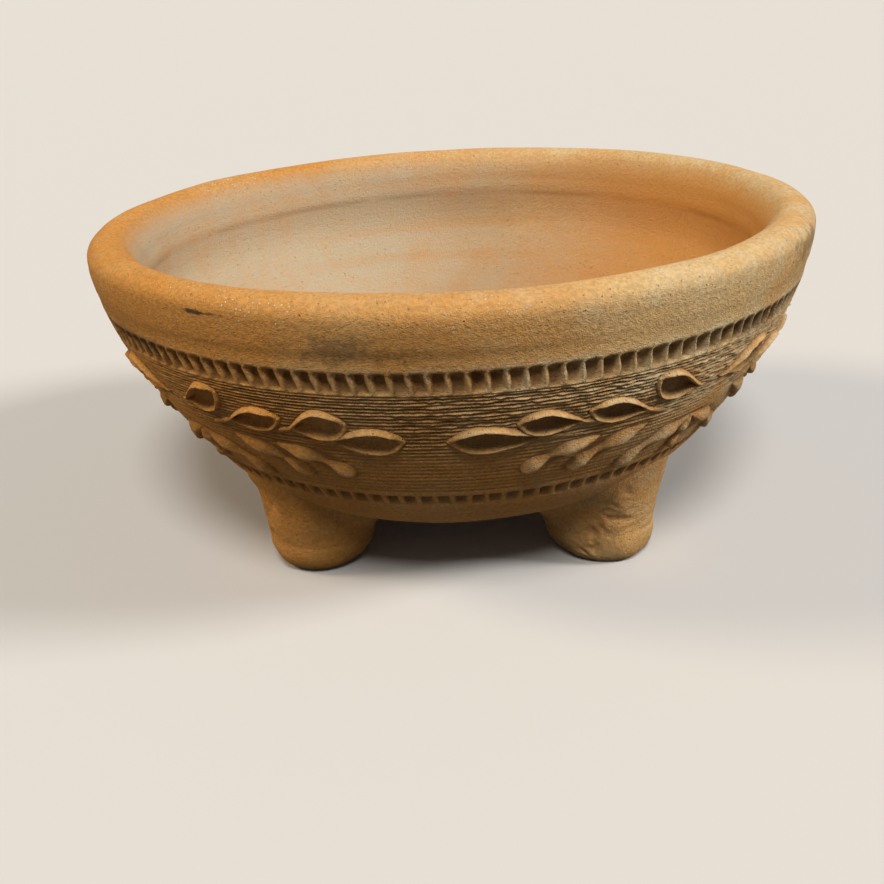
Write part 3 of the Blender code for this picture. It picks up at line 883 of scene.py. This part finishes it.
# Shares of the full width and height along a tongue: a narrow tail, a swelling, a neck and a rounded end.
TONGUE_WIDTHS = ((0.0, 0.30), (0.34, 1.12), (0.61, 0.52), (0.84, 1.12), (1.0, 1.08))
TONGUE_HEIGHTS = ((0.0, 0.35), (0.34, 1.0), (0.61, 0.45), (0.84, 1.0), (1.0, 0.95))
# Roughness of the pads as (scale, drift from one pad to the next, height).
LEAF_ROUGHNESS = ((260.0, (3.1, 0, 0), 0.00034), (95.0, (0, 2.3, 0), 0.00030), (720.0, (0, 0, 0), 0.00024))


def on_wall(turn, z, lift):
    slope = float(wall_slope(z))
    size = math.hypot(1.0, slope)
    r, z = float(wall_radius(z)) + lift / size, z - lift * slope / size
    return Vector((r * math.sin(turn), -r * math.cos(turn), z))


def leaf_frame(tail, tip):
    """The flat frame a leaf is drawn in. Tail and tip are (degrees from the spray's middle, height)."""
    middle = (tail[1] + tip[1]) / 2
    reach = float(wall_radius(middle))
    stretch = math.hypot(1.0, float(wall_slope(middle)))
    dx = math.radians(tip[0] - tail[0]) * reach
    dy = (tip[1] - tail[1]) * stretch
    length = math.hypot(dx, dy)
    return reach, stretch, length, dx / length, dy / length


def leaf_place(angle, side, tail, tip, bend, seed):
    """A function that puts a place along and across the leaf onto the wall, with the clay's roughness."""
    reach, stretch, length, cos, sin = leaf_frame(tail, tip)

    def place(t, q, lift):
        q += bend * length * math.sin(math.pi * min(max(t, -0.3), 1.0))
        x, y = cos * t * length - sin * q, sin * t * length + cos * q
        turn = math.radians(angle) + side * (math.radians(tail[0]) + x / reach)
        point = on_wall(turn, tail[1] + y / stretch, lift)
        rough = sum(noise.noise(point * scale + Vector(drift) * seed) * height
                    for scale, drift, height in LEAF_ROUGHNESS)
        return point + Vector((point.x, point.y, 0)).normalized() * rough

    return place


def add_stem(shape, place, start):
    """The thin ridge that a leaf's tail runs out into."""
    loops = []
    spread, sink = STEM_SKIRT
    for i in range(STEM_STATIONS + 1):
        share = i / STEM_STATIONS
        t = start + (STEM_END - start) * share
        part = math.sqrt(max(0.01, math.sin(math.pi * min(1.0, 0.04 + share * 0.7))))
        half, top = STEM_HALF_WIDTH * part, STEM_TOP * part
        arch = [math.pi * k / STEM_ARCH for k in range(STEM_ARCH + 1)]
        section = [(-half - spread, -sink)]
        section += [(-half * math.cos(turn), top * math.sin(turn) - LEAF_BED) for turn in arch]
        section.append((half + spread, -sink))
        loops.append([shape.verts.new(place(t, q, lift)) for q, lift in section])
    join_loops(shape, loops)


def add_hollow_leaf(shape, angle, side, tail, tip, width, bend, stem, seed):
    place = leaf_place(angle, side, tail, tip, bend, seed)
    outline = []
    for k in range(LEAF_SIDES):
        around = 2 * math.pi * k / LEAF_SIDES
        t = 0.5 - 0.5 * math.cos(around)
        full = max(0.0, math.sin(math.pi * t ** LEAF_FULLNESS)) ** LEAF_BLUNTNESS
        half = max(width / 2 * full, LEAST_HALF)
        half *= 1 + 0.08 * noise.noise(Vector((math.cos(around) * 1.3, math.sin(around) * 1.3, seed * 7.7)))
        upper = smooth(-0.7, 0.7, math.sin(around))
        outline.append((t, half, half * (1 if math.sin(around) > 0 else -1), upper))
    loops = []
    for share, high, low in HOLLOW_LEAF:
        loop = []
        for t, half, q, upper in outline:
            drop = HOLLOW_DROP * smooth(0.0010, 0.0040, half) * min(1.0, 2 * (HOLLOW_LEAF[0][0] - share))
            lift = low + (high - low) * upper
            lift *= 0.35 + 0.65 * smooth(0.10, 0.85, 2 * half / width) if lift > 0 else 1.0
            loop.append(shape.verts.new(place(LEAF_HEART + (t - LEAF_HEART) * share, q * share - drop, lift)))
        loops.append(loop)
    join_loops(shape, loops)
    if stem:
        add_stem(shape, place, -stem)


def along(points, t):
    """A smooth value between given places."""
    for (t0, v0), (t1, v1) in zip(points, points[1:]):
        if t <= t1:
            return v0 + (v1 - v0) * smooth(t0, t1, t)
    return points[-1][1]


def add_tongue(shape, angle, side, tail, tip, width, bend, seed):
    place = leaf_place(angle, side, tail, tip, bend, seed)
    loops = []
    spread, sink = TONGUE_SKIRT
    for i in range(TONGUE_STATIONS + 1):
        t = 0.5 - 0.5 * math.cos(math.pi * i / TONGUE_STATIONS)
        past_tip = max(0.0, t - (1 - TONGUE_TIP)) / TONGUE_TIP
        past_tail = max(0.0, TONGUE_TAIL - t) / TONGUE_TAIL
        round_end = math.sqrt(max(0.0004, 1 - past_tip ** 2 - past_tail ** 2))
        half = width / 2 * along(TONGUE_WIDTHS, t) * round_end
        half *= 1 + 0.12 * noise.noise(Vector((t * 4, seed * 5.3, 0.0)))
        top = TONGUE_HEIGHT * along(TONGUE_HEIGHTS, t) * round_end ** 0.7
        section = [(-half - spread, -sink)]
        section += [(half * q, top * lift - LEAF_BED) for q, lift in TONGUE_SECTION]
        section.append((half + spread, -sink))
        loops.append([shape.verts.new(place(t, q, lift)) for q, lift in section])
    join_loops(shape, loops)


def leaf_piece(name, leaves, maker, dirt_and_shade_share=1.0):
    """One named pad, with how deep and how proud each of its points lies, for its dirt and painted shade and
    for its wear and painted highlight.
    """
    shape = bmesh.new()
    for leaf in leaves:
        maker(shape, *leaf)
    mesh = closed_mesh(name, shape)
    above = [(vert.co.xy.length - float(wall_radius(vert.co.z))) / LEAF_LIP for vert in mesh.vertices]
    # Dirt and painted shade in the hollows, and wear and a painted highlight on the proud tops.
    for label, shares in (("recess", [dirt_and_shade_share * (1 - smooth(-0.6, 0.6, share)) for share in above]),
                          ("wear_and_highlight", [smooth(0.4, 1.2, share) for share in above])):
        mesh.attributes.new(label, "FLOAT", "POINT").data.foreach_set("value", shares)
    piece = new_piece(name, mesh, leaf_clay)
    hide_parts("spray_" + name)
    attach(piece, "root")


leaf_clay = clay_material("leaf_clay", 0.34, 0.36, bump=0.0012, recess=0.90, wear_and_highlight=0.8)[0]
# The leaves of a wing: tail, tip, width and bend, and for a hollow leaf its stem as a share of its length.
HOLLOW_LEAVES = {
    "end_leaf": ((27.4, 0.0808), (42.8, 0.0824), 0.0125, 0.02, 0.30),
    "second_leaf": ((22.3, 0.0850), (33.0, 0.0884), 0.0112, 0.03, 0.25),
    "third_leaf": ((11.4, 0.0834), (22.6, 0.0898), 0.0108, 0.03, 0.35),
    "inner_leaf": ((2.4, 0.0880), (12.4, 0.0970), 0.0120, -0.06, 0.0),
}
TONGUES = {
    "low_outer_leaf": ((19.6, 0.0772), (31.7, 0.0654), 0.0066, 0.06),
    "low_inner_leaf": ((11.0, 0.0772), (23.7, 0.0630), 0.0068, 0.06),
}
# The three tongues at the foot of a spray, each with the side it leans to.
MIDDLE_TONGUES = (
    (1, (0.0, 0.0725), (0.0, 0.0575), 0.0068, 0.0),
    (-1, (0.2, 0.0722), (13.6, 0.0575), 0.0068, 0.06),
    (1, (0.2, 0.0722), (13.6, 0.0575), 0.0068, 0.06),
)
# Two leaves that the maker set unlike the rest, and a spray whose hollows get less dirt and painted shade.
OWN_LEAVES = {
    "front_left_right_end_leaf": ((28.6, 0.0812), (41.0, 0.0828), 0.0128, 0.02, 0.30),
    "front_left_right_second_leaf": ((23.2, 0.0850), (33.0, 0.0902), 0.0140, 0.03, 0.25),
}
LEFT_HOLLOW_DIRT_AND_SHADE = {"front_left": 0.40}
hollow_leaves = []
tongues = []
seed = 0
for place_name, foot_angle in SPRAY_ANGLES.items():
    angle = foot_angle + SPRAY_TURN
    for side, hand in ((-1, "left"), (1, "right")):
        for leaf_name, leaf in HOLLOW_LEAVES.items():
            seed += 1
            name = f"{place_name}_{hand}_{leaf_name}"
            leaf = (angle, side, *OWN_LEAVES.get(name, leaf))
            leaf_piece(name, [(*leaf, seed)], add_hollow_leaf, LEFT_HOLLOW_DIRT_AND_SHADE.get(place_name, 1.0))
            hollow_leaves.append(leaf[:-1])
        for leaf_name, leaf in TONGUES.items():
            seed += 1
            leaf_piece(f"{place_name}_{hand}_{leaf_name}", [(angle, side, *leaf, seed)], add_tongue)
            tongues.append((angle, side, *leaf))
    lobes = [(angle, *leaf) for leaf in MIDDLE_TONGUES]
    seeded = [(*lobe, seed + 0.3 * i) for i, lobe in enumerate(lobes)]
    leaf_piece(f"{place_name}_middle_leaves", seeded, add_tongue)
    tongues += lobes

# Where the pads were stuck on, the wall gave way under the hollows, and slip smoothed the combing round them.
# Each edge is (distance out from the pad's outline where it starts, distance over which it grows full).
PIT_EDGE = (-0.0004, 0.0010)
SLIP_EDGE = (0.0024, 0.0018)
HOLLOW_CORNER_EDGE = (0.0014, 0.0010)
TONGUE_CORNER_EDGE = (0.0022, 0.0010)
SLIP_COVER = 0.75
SLIP_BED = 0.0002
SLIP_LUMPS = 0.0003
CORNER_SHADE = 0.80
BAND_MARGIN = 0.0004           # slip keeps this far below the upper stamped band
SKIN_DEPTH = 0.005             # points deeper than this belong to the inside


def press_leaves(bowl, hollow_leaves, tongues):
    """Sink the wall under each hollow, fill the combing round each pad, and paint shade into the corners."""
    count = len(bowl.data.vertices)
    points = np.empty(count * 3)
    bowl.data.vertices.foreach_get("co", points)
    points = points.reshape(-1, 3)
    recess = np.empty(count)
    bowl.data.attributes["recess"].data.foreach_get("value", recess)
    r, z = np.hypot(points[:, 0], points[:, 1]), points[:, 2]
    turn = np.arctan2(points[:, 0], -points[:, 1])
    outside = (z > LOWER_BAND[1]) & (z < UPPER_BAND[0] - BAND_MARGIN) & (r > wall_radius(z) - SKIN_DEPTH)
    pit, slip, corner = np.zeros(count), np.zeros(count), np.zeros(count)

    def grown(mask, depth, edge):
        return np.maximum(mask, np.clip((depth + edge[0]) / edge[1], 0.0, 1.0))

    for leaves, hollow in ((hollow_leaves, True), (tongues, False)):
        for angle, side, tail, tip, width, bend in leaves:
            reach, stretch, length, cos, sin = leaf_frame(tail, tip)
            off = side * (np.mod(turn - math.radians(angle) + math.pi, 2 * math.pi) - math.pi)
            x, y = (off - math.radians(tail[0])) * reach, (z - tail[1]) * stretch
            t, q = (x * cos + y * sin) / length, y * cos - x * sin
            body = np.clip(t, 0.0, 1.0)
            q = q - bend * length * np.sin(math.pi * body)
            if hollow:
                full = np.sin(math.pi * body ** LEAF_FULLNESS) ** LEAF_BLUNTNESS
            else:
                full = np.sqrt(np.sin(math.pi * body))
            depth = np.abs(full) * width / 2 - np.abs(q) - np.maximum(np.maximum(t - 1, -t), 0.0) * length
            if hollow:
                pit = grown(pit, depth, PIT_EDGE)
            slip = grown(slip, depth, SLIP_EDGE)
            corner = grown(corner, depth, HOLLOW_CORNER_EDGE if hollow else TONGUE_CORNER_EDGE)
    size = np.hypot(1.0, wall_slope(z))
    lumps = np.array([noise.noise(Vector(point) * 240.0) for point in points]) * SLIP_LUMPS
    slip *= outside * SLIP_COVER
    lift = (wall_radius(z) - SLIP_BED + lumps - r) * slip - HOLLOW_DEPTH * pit * outside / size
    points[:, :2] *= (1 + lift / np.maximum(r, 1e-6))[:, None]
    bowl.data.vertices.foreach_set("co", points.ravel())
    # Painted shade in the corners round each pad.
    recess = np.maximum(recess * (1 - slip), corner * outside * CORNER_SHADE)
    bowl.data.attributes["recess"].data.foreach_set("value", recess)
    bowl.data.update()


press_leaves(bowl, hollow_leaves, tongues)


# The floor, the lamps and the camera
# A plain pale floor under three soft lamps, one high in front and one on either side. The camera stands where
# the photograph was taken, a little above the rim.
FLOOR_REACH = 20.0
FLOOR_PALE = (0.74, 0.73, 0.715)
FLOOR_BOUNCE = (0.07, 0.068, 0.065)
BACKDROP_PALE = (0.815, 0.756, 0.675)
ROOM_LIGHT = (0.085, 0.087, 0.09)
# Lamps as (direction the light comes from, strength, softness in degrees, colour).
LAMPS = (
    ((0.05, -0.57, 0.825), 1.78, 18.0, (1.0, 0.96, 0.91)),
    ((-0.75, -0.05, 0.62), 1.10, 16.0, (1.0, 0.82, 0.58)),
    ((0.80, -0.15, 0.55), 1.70, 14.0, (1.0, 0.97, 0.93)),
)


def lit_or_seen(tree, lit, seen):
    """One colour for the light thrown on the object, and another for what the camera and reflections see."""
    rays = tree.nodes.new("ShaderNodeLightPath").outputs
    return blend(tree, calc(tree, "MAXIMUM", rays["Is Camera Ray"], rays["Is Glossy Ray"]), lit, seen)


floor_mesh = bpy.data.meshes.new("floor")
corners = [(x * FLOOR_REACH, y * FLOOR_REACH, 0.0) for x, y in ((-1, -1), (1, -1), (1, 1), (-1, 1))]
floor_mesh.from_pydata(corners, [], [(0, 1, 2, 3)])
floor_material = bpy.data.materials.new("floor_pale")
floor_material.use_nodes = True
floor_tree = floor_material.node_tree
floor_shader = floor_tree.nodes["Principled BSDF"]
floor_shader.inputs["Roughness"].default_value = 0.9
floor_shader.inputs["Specular IOR Level"].default_value = 0.1
floor_tree.links.new(lit_or_seen(floor_tree, FLOOR_BOUNCE, FLOOR_PALE), floor_shader.inputs["Base Color"])
floor = new_piece("floor", floor_mesh, floor_material)

for number, (source, strength, softness, color) in enumerate(LAMPS):
    lamp = bpy.data.lights.new(f"soft_lamp_{number}", "SUN")
    lamp.energy = strength
    lamp.angle = math.radians(softness)
    lamp.color = color
    holder = bpy.data.objects.new(f"soft_lamp_{number}", lamp)
    holder.rotation_euler = (-Vector(source)).to_track_quat("-Z", "Y").to_euler()
    bpy.context.scene.collection.objects.link(holder)
world = bpy.data.worlds.new("studio")
world.use_nodes = True
room = world.node_tree
room.links.new(lit_or_seen(room, ROOM_LIGHT, BACKDROP_PALE), room.nodes["Background"].inputs["Color"])
bpy.context.scene.world = world

CAMERA_AZIMUTH = 1.6           # degrees from the front towards the right
CAMERA_ELEVATION = 19.78
CAMERA_DISTANCE = 0.5016
CAMERA_AIM_HEIGHT = 0.060
CAMERA_YAW = -0.91
CAMERA_PITCH = -3.82
CAMERA_ROLL = -3.23
FOCAL_PIXELS = 1100.0
IMAGE_SIDE = 884.0
SENSOR = 36.0


def level_sides(ahead):
    """The directions to the right of and above a level camera."""
    right = ahead.cross(Vector((0, 0, 1))).normalized()
    return right, right.cross(ahead)


turn, rise = math.radians(CAMERA_AZIMUTH), math.radians(CAMERA_ELEVATION)
eye = Vector((math.sin(turn) * math.cos(rise), -math.cos(turn) * math.cos(rise), math.sin(rise)))
eye = eye * CAMERA_DISTANCE + Vector((0, 0, CAMERA_AIM_HEIGHT))
ahead = (Vector((0, 0, CAMERA_AIM_HEIGHT)) - eye).normalized()
right, up = level_sides(ahead)
ahead = ahead + right * math.tan(math.radians(CAMERA_YAW)) + up * math.tan(math.radians(CAMERA_PITCH))
ahead.normalize()
right, up = level_sides(ahead)
tilt = math.radians(CAMERA_ROLL)
right, up = right * math.cos(tilt) + up * math.sin(tilt), up * math.cos(tilt) - right * math.sin(tilt)
lens = bpy.data.cameras.new("camera")
lens.sensor_fit = "HORIZONTAL"
lens.sensor_width = SENSOR
lens.lens = SENSOR * FOCAL_PIXELS / IMAGE_SIDE
camera = bpy.data.objects.new("camera", lens)
camera.matrix_world = Matrix.Translation(eye) @ Matrix((right, up, -ahead)).transposed().to_4x4()
bpy.context.scene.collection.objects.link(camera)
bpy.context.scene.camera = camera
bpy.context.scene.view_settings.view_transform = "Standard"
